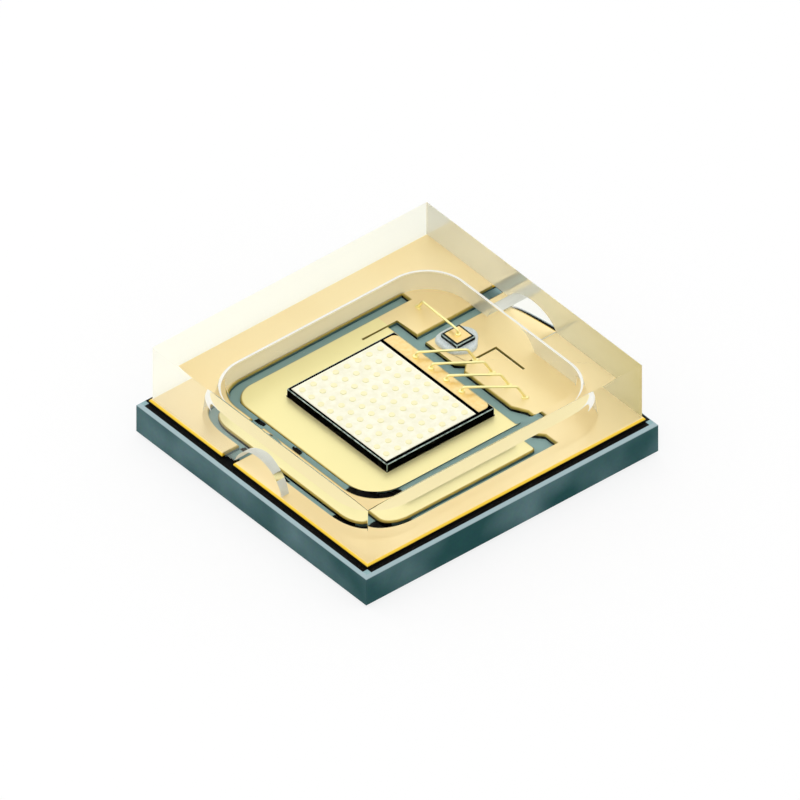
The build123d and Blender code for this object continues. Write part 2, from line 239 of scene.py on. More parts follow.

# The circuit on the tile: rolled copper brazed down, etched into two halves, and gilded.
# The etch rounds its upper edges, and these carry a painted highlight of a deeper yellow
# than the flat satin top.
ETCH_ROUNDING = 0.026
FINE_ROUNDING = 0.005
LAND_MIDDLE = Vector((-0.2775, -0.024))
LAND_HALF = Vector((0.884, 1.052))
FINE_MARKS = (((0.80, -0.52), (1.22, 0.01)), ((0.28, 0.82), (0.609, 0.89)))
# how far an edge at the top may lie below it, and how much of a wall's normal may be upright
LEVEL = 0.0005
WALL = 0.1


def pick(piece):
    """Select one piece alone and make it the active one."""
    bpy.ops.object.select_all(action="DESELECT")
    piece.select_set(True)
    bpy.context.view_layer.objects.active = piece


def on_bench(node, name):
    """Copy a CAD node's mesh at millimetre size, with its loose triangles merged into faces."""
    piece = bpy.data.objects.new(name, nodes[node].data.copy())
    bpy.context.scene.collection.objects.link(piece)
    piece.data.transform(Matrix.Scale(1 / MM, 4))
    pick(piece)
    bpy.ops.object.mode_set(mode="EDIT")
    bpy.ops.mesh.select_all(action="SELECT")
    bpy.ops.mesh.remove_doubles(threshold=0.0002)
    bpy.ops.mesh.dissolve_limited(angle_limit=math.radians(1))
    bpy.ops.object.mode_set(mode="OBJECT")
    return piece


def bevel_edges(piece, width, segments, wanted):
    """Round the edges of the active piece for which the given test holds."""
    bpy.ops.object.mode_set(mode="EDIT")
    bpy.ops.mesh.select_mode(type="EDGE")
    bpy.ops.mesh.select_all(action="DESELECT")
    mesh = bmesh.from_edit_mesh(piece.data)
    for edge in mesh.edges:
        edge.select_set(wanted(edge))
    bmesh.update_edit_mesh(piece.data)
    bpy.ops.mesh.bevel(offset=width, offset_type="OFFSET", segments=segments, affect="EDGES")
    bpy.ops.object.mode_set(mode="OBJECT")


def upper_rim(height):
    """A test for the edges that lie level at the given height, in millimetres."""
    return lambda edge: min(vertex.co.z for vertex in edge.verts) > height - LEVEL


def etched_rim(height, chosen):
    """A test for the edges between top face and walls, where the test of their middle holds."""
    on_top = upper_rim(height)
    return lambda edge: (
        on_top(edge)
        and any(abs(face.normal.z) < WALL for face in edge.link_faces)
        and chosen((edge.verts[0].co + edge.verts[1].co) / 2)
    )


def in_fine_mark(point):
    """Whether a point lies on the thin L mark or on the short slit beside the chip."""
    return any(
        low[0] < point.x < high[0] and low[1] < point.y < high[1] for low, high in FINE_MARKS
    )


def clear_of_marks(point):
    """Whether a point lies on neither of them."""
    return not in_fine_mark(point)


def apply_modifier(piece, kind, **settings):
    """Add a modifier, set it and apply it at once."""
    pick(piece)
    modifier = piece.modifiers.new("step", kind)
    for name, value in settings.items():
        setattr(modifier, name, value)
    bpy.ops.object.modifier_apply(modifier=modifier.name)


def finish_in_metres(piece, smooth_angle=30):
    """Shrink a piece modelled in millimetres about the origin, and smooth its curved faces."""
    pick(piece)
    bpy.ops.object.shade_smooth_by_angle(angle=math.radians(smooth_angle))
    apply_modifier(piece, "WEIGHTED_NORMAL", keep_sharp=True, weight=100)
    piece.scale = (MM, MM, MM)
    bpy.ops.object.transform_apply(location=False, rotation=False, scale=True)


# gilding over rolled copper looks satin and pale gold, with hardly a line of the rolling left
gilt, tree, shader = new_material("gilded rolled copper")
# how far under the top its colour begins and is full, and how high the black foot of painted
# shade and its fade are
FLAT_BEGINS = 0.006
FLAT_FULL = 0.0005
BLACK_FOOT = 0.024
BLACK_FADE = 0.008
PLATING_WASH = 1.3
OPEN_MARGIN = 0.04
FACING_NEAR = -0.7
ROLLING_LINE = 0.03
place = add(tree, "ShaderNodeTexCoord")
place_xyz = add(tree, "ShaderNodeSeparateXYZ", {"Vector": place.outputs["Object"]})
flat_top = add(tree, "ShaderNodeMapRange", {
    "Value": place_xyz.outputs["Z"],
    "From Min": copper_high.z - FLAT_BEGINS * MM, "From Max": copper_high.z - FLAT_FULL * MM,
})
foot_of_wall = add(tree, "ShaderNodeMapRange", {
    "Value": place_xyz.outputs["Z"],
    "From Min": copper_low.z + BLACK_FOOT * MM,
    "From Max": copper_low.z + (BLACK_FOOT + BLACK_FADE) * MM,
})
wash = add(tree, "ShaderNodeTexNoise", {
    "Vector": place.outputs["Object"], "Scale": 1 / (PLATING_WASH * MM), "Detail": 2.0,
})
top_tone = add(tree, "ShaderNodeValToRGB", {"Fac": wash.outputs["Fac"]})
top_tone.color_ramp.elements[0].position = 0.35
top_tone.color_ramp.elements[0].color = linear("#FBE3AE")
top_tone.color_ramp.elements[1].position = 0.65
top_tone.color_ramp.elements[1].color = linear("#FEEABA")
# the rounded edge carries a painted highlight: strong yellow all round the tile where the
# clear block doesn't cover it, and a duller painted yellow under the block
covered_x = add(tree, "ShaderNodeMath", {
    0: place_xyz.outputs["X"], 1: 0.0, 2: copper_high.x - OPEN_MARGIN * MM,
}, operation="COMPARE")
covered_y = add(tree, "ShaderNodeMath", {
    0: place_xyz.outputs["Y"], 1: 0.0, 2: copper_far - OPEN_MARGIN * MM,
}, operation="COMPARE")
covered = add(tree, "ShaderNodeMath", {
    0: covered_x.outputs["Value"], 1: covered_y.outputs["Value"],
}, operation="MULTIPLY")
edge_highlight_tone = add(tree, "ShaderNodeMix", {
    "Factor": covered.outputs["Value"], "A": linear("#F0C838"), "B": linear("#C0A956"),
}, data_type="RGBA")
# below its rounded edge the copper's walls are painted black, a painted shade, but in the
# slots the walls that face -Y are grey-teal instead
wall_facing = add(tree, "ShaderNodeSeparateXYZ", {"Vector": place.outputs["Normal"]})
near_wall = add(tree, "ShaderNodeMath", {
    0: wall_facing.outputs["Y"], 1: FACING_NEAR,
}, operation="LESS_THAN")
near_covered_wall = add(tree, "ShaderNodeMath", {
    0: near_wall.outputs["Value"], 1: covered.outputs["Value"],
}, operation="MULTIPLY")
foot_tone = add(tree, "ShaderNodeMix", {
    "Factor": near_covered_wall.outputs["Value"], "A": linear("#050402"), "B": linear("#5E7C7E"),
}, data_type="RGBA")
wall_tone = add(tree, "ShaderNodeMix", {
    "Factor": foot_of_wall.outputs["Result"],
    "A": foot_tone.outputs["Result"], "B": edge_highlight_tone.outputs["Result"],
}, data_type="RGBA")
# the land under the chip is drawn brighter than the rest of the top
on_land_x = add(tree, "ShaderNodeMath", {
    0: place_xyz.outputs["X"], 1: LAND_MIDDLE.x * MM, 2: LAND_HALF.x * MM,
}, operation="COMPARE")
on_land_y = add(tree, "ShaderNodeMath", {
    0: place_xyz.outputs["Y"], 1: LAND_MIDDLE.y * MM, 2: LAND_HALF.y * MM,
}, operation="COMPARE")
on_land = add(tree, "ShaderNodeMath", {
    0: on_land_x.outputs["Value"], 1: on_land_y.outputs["Value"],
}, operation="MULTIPLY")
brighter_land = add(tree, "ShaderNodeMix", {
    "Factor": on_land.outputs["Value"], "A": top_tone.outputs["Color"], "B": linear("#FFF4BC"),
}, data_type="RGBA")
gilding = add(tree, "ShaderNodeMix", {
    "Factor": flat_top.outputs["Result"],
    "A": wall_tone.outputs["Result"], "B": brighter_land.outputs["Result"],
}, data_type="RGBA")
tree.links.new(gilding.outputs["Result"], shader.inputs["Base Color"])
shader.inputs["Metallic"].default_value = 0.5
shader.inputs["Roughness"].default_value = 0.42
# the lines of the rolling run along X; they are drawn several times coarser, to show
rolling = add(tree, "ShaderNodeMapping", {
    "Vector": place.outputs["Object"], "Scale": (1.0, 6.0, 1.0),
})
rolled = add(tree, "ShaderNodeTexNoise", {
    "Vector": rolling.outputs["Vector"], "Scale": 1 / (ROLLING_LINE * MM), "Detail": 3.0,
})
relief = add(tree, "ShaderNodeBump", {
    "Height": rolled.outputs["Fac"], "Strength": 0.06, "Distance": 0.001 * MM,
})
tree.links.new(relief.outputs["Normal"], shader.inputs["Normal"])

copper_top = copper_high.z / MM
for half in ("cathode", "anode"):
    copper = on_bench(half + "_circuit", "gilded_" + half)
    bevel_edges(copper, ETCH_ROUNDING, segments=4, wanted=etched_rim(copper_top, clear_of_marks))
    bevel_edges(copper, FINE_ROUNDING, segments=2, wanted=etched_rim(copper_top, in_fine_mark))
    finish_in_metres(copper)
    coat(copper, gilt)
    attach(copper, "root")
    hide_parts(half + "_circuit")

# The solder under the chip: gold-tin, melted under it. Where it shows at the edge it is
# painted dark, a painted shade from the chip.
# The chip was pressed down on it while it was liquid, which squeezed it out a little.
SOLDER_RIPPLE = 0.03

# frozen solder ripples, painted dark brown: the chip's shade is painted into their colour
die_solder, tree, shader = new_material("gold-tin solder in painted shade")
place = add(tree, "ShaderNodeTexCoord")
ripples = add(tree, "ShaderNodeTexNoise", {
    "Vector": place.outputs["Object"], "Scale": 1 / (SOLDER_RIPPLE * MM),
})
solder_tone = add(tree, "ShaderNodeValToRGB", {"Fac": ripples.outputs["Fac"]})
solder_tone.color_ramp.elements[0].color = linear("#1A1710")
solder_tone.color_ramp.elements[1].color = linear("#3A3222")
tree.links.new(solder_tone.outputs["Color"], shader.inputs["Base Color"])
shader.inputs["Metallic"].default_value = 0.6
shader.inputs["Roughness"].default_value = 0.6
coat(nodes["die_attach"], die_solder)

# The chip: a sawn block of gallium arsenide, nearly black, soldered to the land.
# Its upper rim and corners are chipped by the saw, and the chipped faces carry a pale
# painted highlight.
SAW_CHIPPING = 0.008
SAW_MARK = 0.012
CHIP_OF_EDGE = 0.05
# how tall an edge is that stands on end, and how square to an axis a face is that isn't slanted
STANDING = 0.01
SQUARE_ON = 0.98


def box_in_mm(name, low, high):
    """Add a cuboid between two corners given in metres, and work on it in millimetres."""
    bpy.ops.object.select_all(action="DESELECT")
    middle = (low + high) / 2 / MM
    bpy.ops.mesh.primitive_cube_add(size=1, location=middle)
    piece = bpy.context.object
    piece.name = name
    piece.scale = (high - low) / MM
    bpy.ops.object.transform_apply(location=True, rotation=False, scale=True)
    return piece


def upright(edge):
    """A test for the edges that stand on end."""
    return abs(edge.verts[0].co.z - edge.verts[1].co.z) > STANDING


def sawn_die(node, name, *materials):
    """Make a chipped cuboid for a CAD node; its chipped faces take the second material, a painted
    highlight.
    """
    low, high = corners(node)
    die = box_in_mm(name, low, high)
    at_rim = upper_rim(high.z / MM)
    bevel_edges(die, SAW_CHIPPING, segments=2, wanted=lambda edge: upright(edge) or at_rim(edge))
    finish_in_metres(die)
    coat(die, *materials)
    for face in die.data.polygons:
        slanted = max(abs(component) for component in face.normal) < SQUARE_ON
        face.material_index = 1 if slanted else 0
    return die


# sawn gallium arsenide looks black; the marks of the saw are drawn a little coarser, to show
gallium, tree, shader = new_material("sawn gallium arsenide")
place = add(tree, "ShaderNodeTexCoord")
saw = add(tree, "ShaderNodeTexNoise", {
    "Vector": place.outputs["Object"], "Scale": 1 / (SAW_MARK * MM),
})
body_tone = add(tree, "ShaderNodeValToRGB", {"Fac": saw.outputs["Fac"]})
body_tone.color_ramp.elements[0].color = linear("#010101")
body_tone.color_ramp.elements[1].color = linear("#040505")
tree.links.new(body_tone.outputs["Color"], shader.inputs["Base Color"])
shader.inputs["Roughness"].default_value = 0.5
shader.inputs["Specular IOR Level"].default_value = 0.01

# the chipped faces carry a pale painted highlight, here more and there less
chipped, tree, shader = new_material("painted highlight on saw-chipped crystal edges")
place = add(tree, "ShaderNodeTexCoord")
chips = add(tree, "ShaderNodeTexNoise", {
    "Vector": place.outputs["Object"], "Scale": 1 / (CHIP_OF_EDGE * MM),
})
chip_highlight_tone = add(tree, "ShaderNodeValToRGB", {"Fac": chips.outputs["Fac"]})
chip_highlight_tone.color_ramp.elements[0].position = 0.35
chip_highlight_tone.color_ramp.elements[0].color = linear("#5E7478")
chip_highlight_tone.color_ramp.elements[1].position = 0.60
chip_highlight_tone.color_ramp.elements[1].color = linear("#B4C8CC")
tree.links.new(chip_highlight_tone.outputs["Color"], shader.inputs["Base Color"])
shader.inputs["Roughness"].default_value = 0.4
chip = sawn_die("emitter_chip", "chip_body", gallium, chipped)
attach(chip, "root")
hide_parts("emitter_chip")

# The emitting area on the chip: a pale coating over matt metal, and in it the grid of round
# windows that the light leaves by. The windows are a touch yellower and stand a hair proud.
FIELD_MOTTLE = 0.06
WINDOW_DIAMETER = 0.062
WINDOW_PITCH = 0.134
WINDOW_ROUNDING = 0.002
WINDOW_BLOOM = 0.05


def disc_in_mm(name, radius, height, foot, vertices):
    """Add an upright disc that stands on a point, in millimetres."""
    bpy.ops.object.select_all(action="DESELECT")
    bpy.ops.mesh.primitive_cylinder_add(
        vertices=vertices, radius=radius, depth=height,
        location=(foot.x, foot.y, foot.z + height / 2),
    )
    piece = bpy.context.object
    piece.name = name
    bpy.ops.object.transform_apply(location=True, rotation=False, scale=False)
    return piece


# matt silver under clear nitride looks off-white and even, with a faint mottle
pale_coating, tree, shader = new_material("matt silver metal under silicon nitride")
place = add(tree, "ShaderNodeTexCoord")
mottle = add(tree, "ShaderNodeTexNoise", {
    "Vector": place.outputs["Object"], "Scale": 1 / (FIELD_MOTTLE * MM), "Detail": 3.0,
})
field_tone = add(tree, "ShaderNodeValToRGB", {"Fac": mottle.outputs["Fac"]})
field_tone.color_ramp.elements[0].position = 0.3
field_tone.color_ramp.elements[0].color = linear("#F5F2E4")
field_tone.color_ramp.elements[1].position = 0.7
field_tone.color_ramp.elements[1].color = linear("#FDFBF2")
tree.links.new(field_tone.outputs["Color"], shader.inputs["Base Color"])
shader.inputs["Metallic"].default_value = 0.9
shader.inputs["Roughness"].default_value = 0.45
coat(nodes["chip_bright_field"], pale_coating)

windows_low, windows_high = [corner / MM for corner in corners("emitter_apertures")]
first_foot = windows_low + Vector((WINDOW_DIAMETER / 2, WINDOW_DIAMETER / 2, 0))
window_height = windows_high.z - windows_low.z
windows = disc_in_mm(
    "aperture_windows", WINDOW_DIAMETER / 2, window_height, first_foot, vertices=32,
)
bevel_edges(windows, WINDOW_ROUNDING, segments=2, wanted=upper_rim(windows_high.z))
columns = round((windows_high.x - windows_low.x - WINDOW_DIAMETER) / WINDOW_PITCH) + 1
rows = round((windows_high.y - windows_low.y - WINDOW_DIAMETER) / WINDOW_PITCH) + 1
for count, step in ((columns, (WINDOW_PITCH, 0, 0)), (rows, (0, WINDOW_PITCH, 0))):
    apply_modifier(
        windows, "ARRAY", count=count, use_relative_offset=False,
        use_constant_offset=True, constant_offset_displace=step,
    )
finish_in_metres(windows)

# the oxide in the windows tints the metal under it a pale yellow
window, tree, shader = new_material("aperture window oxide")
place = add(tree, "ShaderNodeTexCoord")
bloom = add(tree, "ShaderNodeTexNoise", {
    "Vector": place.outputs["Object"], "Scale": 1 / (WINDOW_BLOOM * MM),
})
window_tone = add(tree, "ShaderNodeValToRGB", {"Fac": bloom.outputs["Fac"]})
window_tone.color_ramp.elements[0].color = linear("#F8F2CC")
window_tone.color_ramp.elements[1].color = linear("#FBF6DA")
tree.links.new(window_tone.outputs["Color"], shader.inputs["Base Color"])
shader.inputs["Metallic"].default_value = 0.9
shader.inputs["Roughness"].default_value = 0.45
coat(windows, window)
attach(windows, "root")
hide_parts("emitter_apertures")

# The gold contacts: the long bar on the chip and the square pad on the protection diode.
# Both are evaporated gold, a little matt and scuffed from the bonding.
BONDING_SCUFF = 0.04
contact, tree, shader = new_material("evaporated gold contact")
place = add(tree, "ShaderNodeTexCoord")
scuff = add(tree, "ShaderNodeTexNoise", {
    "Vector": place.outputs["Object"], "Scale": 1 / (BONDING_SCUFF * MM), "Detail": 3.0,
})
contact_tone = add(tree, "ShaderNodeValToRGB", {"Fac": scuff.outputs["Fac"]})
contact_tone.color_ramp.elements[0].position = 0.3
contact_tone.color_ramp.elements[0].color = linear("#F6D595")
contact_tone.color_ramp.elements[1].position = 0.7
contact_tone.color_ramp.elements[1].color = linear("#FBE2AC")
tree.links.new(contact_tone.outputs["Color"], shader.inputs["Base Color"])
shader.inputs["Metallic"].default_value = 1.0
shader.inputs["Roughness"].default_value = 0.34
for name in ("chip_bond_bar", "diode_top_pad"):
    coat(nodes[name], contact)

# The protection diode: a small sawn silicon die, held in a spot of silver-filled glue
# that spreads unevenly round it and has crept a little up its sides.
SILICON_MARK = 0.015
GLUE_SPREAD = 0.198
GLUE_RISE = 0.036
GLUE_SHOULDER = 0.030
# size, count and start of the waves in the outline of the spot
GLUE_LOBES = ((0.05, 3, 0.7), (0.03, 5, 2.1))
SILVER_FLAKE = 0.012

# sawn silicon looks blue-black; the marks of the saw are drawn a little coarser, to show
silicon, tree, shader = new_material("sawn silicon")
place = add(tree, "ShaderNodeTexCoord")
saw = add(tree, "ShaderNodeTexNoise", {
    "Vector": place.outputs["Object"], "Scale": 1 / (SILICON_MARK * MM),
})
silicon_tone = add(tree, "ShaderNodeValToRGB", {"Fac": saw.outputs["Fac"]})
silicon_tone.color_ramp.elements[0].color = linear("#060C0E")
silicon_tone.color_ramp.elements[1].color = linear("#142024")
tree.links.new(silicon_tone.outputs["Color"], shader.inputs["Base Color"])
shader.inputs["Roughness"].default_value = 0.45
shader.inputs["Specular IOR Level"].default_value = 0.15
diode = sawn_die("protection_diode", "diode_body", silicon, chipped)
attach(diode, "root")
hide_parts("protection_diode")

glue_low, glue_high = [corner / MM for corner in corners("diode_glue")]
glue_middle = (glue_low + glue_high) / 2
glue_foot = Vector((glue_middle.x, glue_middle.y, glue_low.z))
glue = disc_in_mm("glue_spot", GLUE_SPREAD, GLUE_RISE, glue_foot, vertices=96)
bevel_edges(glue, GLUE_SHOULDER, segments=6, wanted=upper_rim(glue_low.z + GLUE_RISE))
for vertex in glue.data.vertices:
    turn = math.atan2(vertex.co.y - glue_middle.y, vertex.co.x - glue_middle.x)
    spread = 1 + sum(size * math.sin(count * turn + start) for size, count, start in GLUE_LOBES)
    vertex.co.x = glue_middle.x + (vertex.co.x - glue_middle.x) * spread
    vertex.co.y = glue_middle.y + (vertex.co.y - glue_middle.y) * spread
finish_in_metres(glue, smooth_angle=60)

# silver flakes in clear epoxy look bluish white, and their edges roughen it
silver_glue, tree, shader = new_material("silver-filled epoxy glue")
place = add(tree, "ShaderNodeTexCoord")
flakes = add(tree, "ShaderNodeTexVoronoi", {
    "Vector": place.outputs["Object"], "Scale": 1 / (SILVER_FLAKE * MM),
})
glue_tone = add(tree, "ShaderNodeValToRGB", {"Fac": flakes.outputs["Distance"]})
glue_tone.color_ramp.elements[0].color = linear("#EAF1F8")
glue_tone.color_ramp.elements[1].color = linear("#C2CFDC")
tree.links.new(glue_tone.outputs["Color"], shader.inputs["Base Color"])
shader.inputs["Roughness"].default_value = 0.45
relief = add(tree, "ShaderNodeBump", {
    "Height": flakes.outputs["Distance"], "Strength": 0.3, "Distance": 0.003 * MM,
})
tree.links.new(relief.outputs["Normal"], shader.inputs["Normal"])
coat(glue, silver_glue)
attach(glue, "root")
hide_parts("diode_glue")

# The bond wires: drawn gold, 25 micrometres thick. Each starts in a ball that the bonding
# tool has mashed flat, runs level in a low loop, and ends in a pressed foot.
WIRE_RADIUS = 0.0125
# how high the loop lies over the ball, how far from the ball it turns level and from the foot
# it drops, the radius of its bends, and the share of a straight that a bend may take up
WIRE_LOOP = 0.052
WIRE_LEAD = 0.014
WIRE_DROP = 0.075
WIRE_BEND = 0.030
BEND_SHARE = 0.45
BALL_RADIUS = 0.030
BALL_SHOULDER = 0.009
PRESSED_HEIGHT = 0.016
PRESSED_SHOULDER = 0.008
FOOT_LENGTH = 0.070
FOOT_WIDTH = 0.036
FOOT_END = 0.48 * FOOT_WIDTH
DRAWING_MARK = 0.02

# drawn gold looks bright and pale; the marks of the drawing are drawn coarser, to show
wire_gold, tree, shader = new_material("drawn gold wire")
place = add(tree, "ShaderNodeTexCoord")
drawn = add(tree, "ShaderNodeTexNoise", {
    "Vector": place.outputs["Object"], "Scale": 1 / (DRAWING_MARK * MM),
})
wire_tone = add(tree, "ShaderNodeValToRGB", {"Fac": drawn.outputs["Fac"]})
wire_tone.color_ramp.elements[0].color = linear("#FDF1A8")
wire_tone.color_ramp.elements[1].color = linear("#FFF8C8")
tree.links.new(wire_tone.outputs["Color"], shader.inputs["Base Color"])
shader.inputs["Metallic"].default_value = 1.0
shader.inputs["Roughness"].default_value = 0.28


def rounded_path(points, radius, steps=8):
    """The points of a bent line, with each inner corner turned into a short curve."""
    path = [points[0]]
    for before, corner, after in zip(points, points[1:], points[2:]):
        back, on = (before - corner).normalized(), (after - corner).normalized()
        shorter_leg = min((before - corner).length, (after - corner).length)
        reach = min(radius / math.tan(back.angle(on) / 2), shorter_leg * BEND_SHARE)
        start, end = corner + back * reach, corner + on * reach
        for step in range(steps + 1):
            share = step / steps
            left = 1 - share
            path.append(start * left ** 2 + corner * 2 * share * left + end * share ** 2)
    return path + [points[-1]]


def bond_wire(node, name, ball, foot):
    """Make one wire from the middle of its ball to the middle of its foot, in millimetres."""
    along = Vector((foot.x - ball.x, foot.y - ball.y, 0)).normalized()
    loop_height = ball.z + WIRE_LOOP
    drop = foot - along * WIRE_DROP
    lead = ball + along * WIRE_LEAD
    curve = bpy.data.curves.new(name, "CURVE")
    curve.dimensions = "3D"
    curve.bevel_depth = WIRE_RADIUS
    curve.bevel_resolution = 5
    curve.use_fill_caps = True
    line = curve.splines.new("POLY")
    path = rounded_path([
        ball + Vector((0, 0, PRESSED_HEIGHT / 2)),
        Vector((lead.x, lead.y, loop_height)),
        Vector((drop.x, drop.y, loop_height - WIRE_RADIUS)),
        foot + Vector((0, 0, WIRE_RADIUS)),
    ], WIRE_BEND)
    line.points.add(len(path) - 1)
    for point, place_on_path in zip(line.points, path):
        point.co = (*place_on_path, 1)
    piece = bpy.data.objects.new(name, curve)
    bpy.context.scene.collection.objects.link(piece)
    pick(piece)
    bpy.ops.object.convert(target="MESH")

    mashed_ball = disc_in_mm("mashed_ball", BALL_RADIUS, PRESSED_HEIGHT, ball, vertices=40)
    bevel_edges(mashed_ball, BALL_SHOULDER, segments=4, wanted=upper_rim(ball.z + PRESSED_HEIGHT))

    half = Vector((FOOT_LENGTH / 2, FOOT_WIDTH / 2, 0)) * MM
    pressed_foot = box_in_mm("pressed_foot", -half, half + Vector((0, 0, PRESSED_HEIGHT)) * MM)
    bevel_edges(pressed_foot, FOOT_END, segments=5, wanted=upright)
    bevel_edges(pressed_foot, PRESSED_SHOULDER, segments=3, wanted=upper_rim(PRESSED_HEIGHT))
    turn = Matrix.Rotation(math.atan2(along.y, along.x), 4, "Z")
    pressed_foot.data.transform(Matrix.Translation(foot) @ turn)

    bpy.ops.object.select_all(action="DESELECT")
    for part in (mashed_ball, pressed_foot, piece):
        part.select_set(True)
    bpy.context.view_layer.objects.active = piece
    bpy.ops.object.join()
    finish_in_metres(piece, smooth_angle=40)
    coat(piece, wire_gold)
    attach(piece, "root")
    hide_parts(node)


BALL_X = 0.437
BALL_ROW_Y = -0.071
BALL_PITCH = 0.220
FOOT_X = 0.900
FOOT_ROW_Y = -0.401
FOOT_PITCH = 0.237
WIRES = 4
bar_top = corners("chip_bond_bar")[1].z / MM
for number in range(WIRES):
    step = (WIRES - 1) / 2 - number
    bond_wire(
        f"bond_wire_{number + 1}", f"chip_wire_{number + 1}",
        Vector((BALL_X, BALL_ROW_Y + step * BALL_PITCH, bar_top)),
        Vector((FOOT_X, FOOT_ROW_Y + step * FOOT_PITCH, copper_top)),
    )
DIODE_WIRE_LENGTH = 0.610
DIODE_WIRE_DRIFT = 0.030
pad_top = corners("diode_top_pad")[1].z / MM
diode_low, diode_high = corners("protection_diode")
diode_middle = (diode_low + diode_high) / 2 / MM
bond_wire(
    "diode_wire", "diode_bond_wire",
    Vector((diode_middle.x, diode_middle.y, pad_top)),
    Vector((diode_middle.x + DIODE_WIRE_DRIFT, diode_middle.y + DIODE_WIRE_LENGTH, copper_top)),
)

# The clear block: moulded silicone glass, polished on top and hollow underneath, with
# an arched vent at each end. Its four sides are sawn, which leaves them faintly hazy.
# A clear bead bonds it down, so block and bead are one piece for the light.
CAVITY_LENGTH = 2.865
CAVITY_WIDTH = 2.495
CAVITY_SHIFT_X = -0.0475
CAVITY_SHIFT_Y = -0.1075
CAVITY_HEIGHT = 0.275
CAVITY_DRAFT = 6.0
CAVITY_CORNER = 0.46
CAVITY_OVERCUT = 0.05
CEILING_RADIUS = 0.070
VENT_WIDTH = 0.670
VENT_RISE = 0.250
VENT_SHIFT = 0.028
VENT_CUT = 4.0
BLOCK_EDGE = 0.009
BLOCK_CORNER = 0.004
BOND_SINK = 0.002

cap_low, cap_high = corners("clear_cap")
block_low = Vector((cap_low.x, cap_low.y, copper_high.z - BOND_SINK * MM))
block = box_in_mm("clear_block", block_low, cap_high)
bevel_edges(block, BLOCK_CORNER, segments=3, wanted=upright)
bevel_edges(block, BLOCK_EDGE, segments=3, wanted=upper_rim(cap_high.z / MM))

foot = cap_low.z / MM
ceiling = foot + CAVITY_HEIGHT
hollow_low = Vector((-CAVITY_LENGTH / 2, -CAVITY_WIDTH / 2, foot - CAVITY_OVERCUT)) * MM
hollow_high = Vector((CAVITY_LENGTH / 2, CAVITY_WIDTH / 2, ceiling)) * MM
hollow = box_in_mm("hollow", hollow_low, hollow_high)
bevel_edges(hollow, CAVITY_CORNER, segments=20, wanted=upright)
lean = math.tan(math.radians(CAVITY_DRAFT))
for vertex in hollow.data.vertices:
    inset = (vertex.co.z - foot) * lean
    vertex.co.x *= 1 - 2 * inset / CAVITY_LENGTH
    vertex.co.y *= 1 - 2 * inset / CAVITY_WIDTH
bevel_edges(hollow, CEILING_RADIUS, segments=8, wanted=upper_rim(ceiling))
hollow.data.transform(Matrix.Translation((CAVITY_SHIFT_X, CAVITY_SHIFT_Y, 0)))

arch_radius = ((VENT_WIDTH / 2) ** 2 + VENT_RISE ** 2) / (2 * VENT_RISE)
arch_middle = foot + VENT_RISE - arch_radius
bpy.ops.object.select_all(action="DESELECT")
bpy.ops.mesh.primitive_cylinder_add(
    vertices=160, radius=arch_radius, depth=VENT_CUT,
    location=(0, VENT_SHIFT, arch_middle), rotation=(0, math.pi / 2, 0),
)
vent = bpy.context.object
bpy.ops.object.transform_apply(location=True, rotation=True, scale=True)
for cutter in (hollow, vent):
    apply_modifier(block, "BOOLEAN", operation="DIFFERENCE", solver="EXACT", object=cutter)
    bpy.data.objects.remove(cutter)
finish_in_metres(block)

# silicone glass has an index of about 1.4; this one gives the shifts that the block shows
GLASS_IOR = 1.27
# the mirrored share of light above which it counts as held in: all of it, or on curved faces
# a part of it
HELD_IN = 0.98
PART_HELD_IN = 0.10


def show(tree, shader_output):
    """Put a shader on the surface of the material."""
    tree.links.new(shader_output, tree.nodes["Material Output"].inputs["Surface"])


def glass_material(name, roughness, closing=HELD_IN):
    """Start a clear glass that mirrors light only where it can't leave.

    The mask that comes back is 1 where more of the light than the closing share is held in.
    """
    material, tree, shader = new_material(name)
    shader.inputs["Base Color"].default_value = linear("#FFFFFC")
    shader.inputs["Transmission Weight"].default_value = 1.0
    shader.inputs["Roughness"].default_value = roughness
    shader.inputs["IOR"].default_value = GLASS_IOR
    gloss = add(tree, "ShaderNodeFresnel", {"IOR": GLASS_IOR})
    held_in = add(tree, "ShaderNodeMath", {
        0: gloss.outputs["Fac"], 1: HELD_IN,
    }, operation="GREATER_THAN")
    mask = add(tree, "ShaderNodeMath", {
        0: gloss.outputs["Fac"], 1: closing,
    }, operation="GREATER_THAN")
    bending = add(tree, "ShaderNodeBsdfRefraction", {
        "Color": linear("#FFFFFC"), "Roughness": roughness, "IOR": GLASS_IOR,
    })
    glass = add(tree, "ShaderNodeMixShader", {
        "Fac": held_in.outputs["Value"], 1: bending.outputs["BSDF"], 2: shader.outputs["BSDF"],
    })
    show(tree, glass.outputs["Shader"])
    return material, tree, glass.outputs["Shader"], mask.outputs["Value"]


# a polished face is clear, and bends what lies under it
clear = glass_material("polished moulded silicone glass", roughness=0.0)[0]

# the sawn sides are hazy: where a polished side would mirror all light, they glow with the
# light of the room behind them, the long sides white
SAW_ROUGHNESS = 0.015
LONG_SIDE_HAZE = 0.92
long_side, tree, glass, mask = glass_material("sawn long side of silicone glass", SAW_ROUGHNESS)
glow = add(tree, "ShaderNodeBsdfTranslucent", {"Color": linear("#FFFFF4")})
hazy = add(tree, "ShaderNodeMath", {0: mask, 1: LONG_SIDE_HAZE}, operation="MULTIPLY")
hazed = add(tree, "ShaderNodeMixShader", {
    "Fac": hazy.outputs["Value"], 1: glass, 2: glow.outputs["BSDF"],
})
show(tree, hazed.outputs["Shader"])
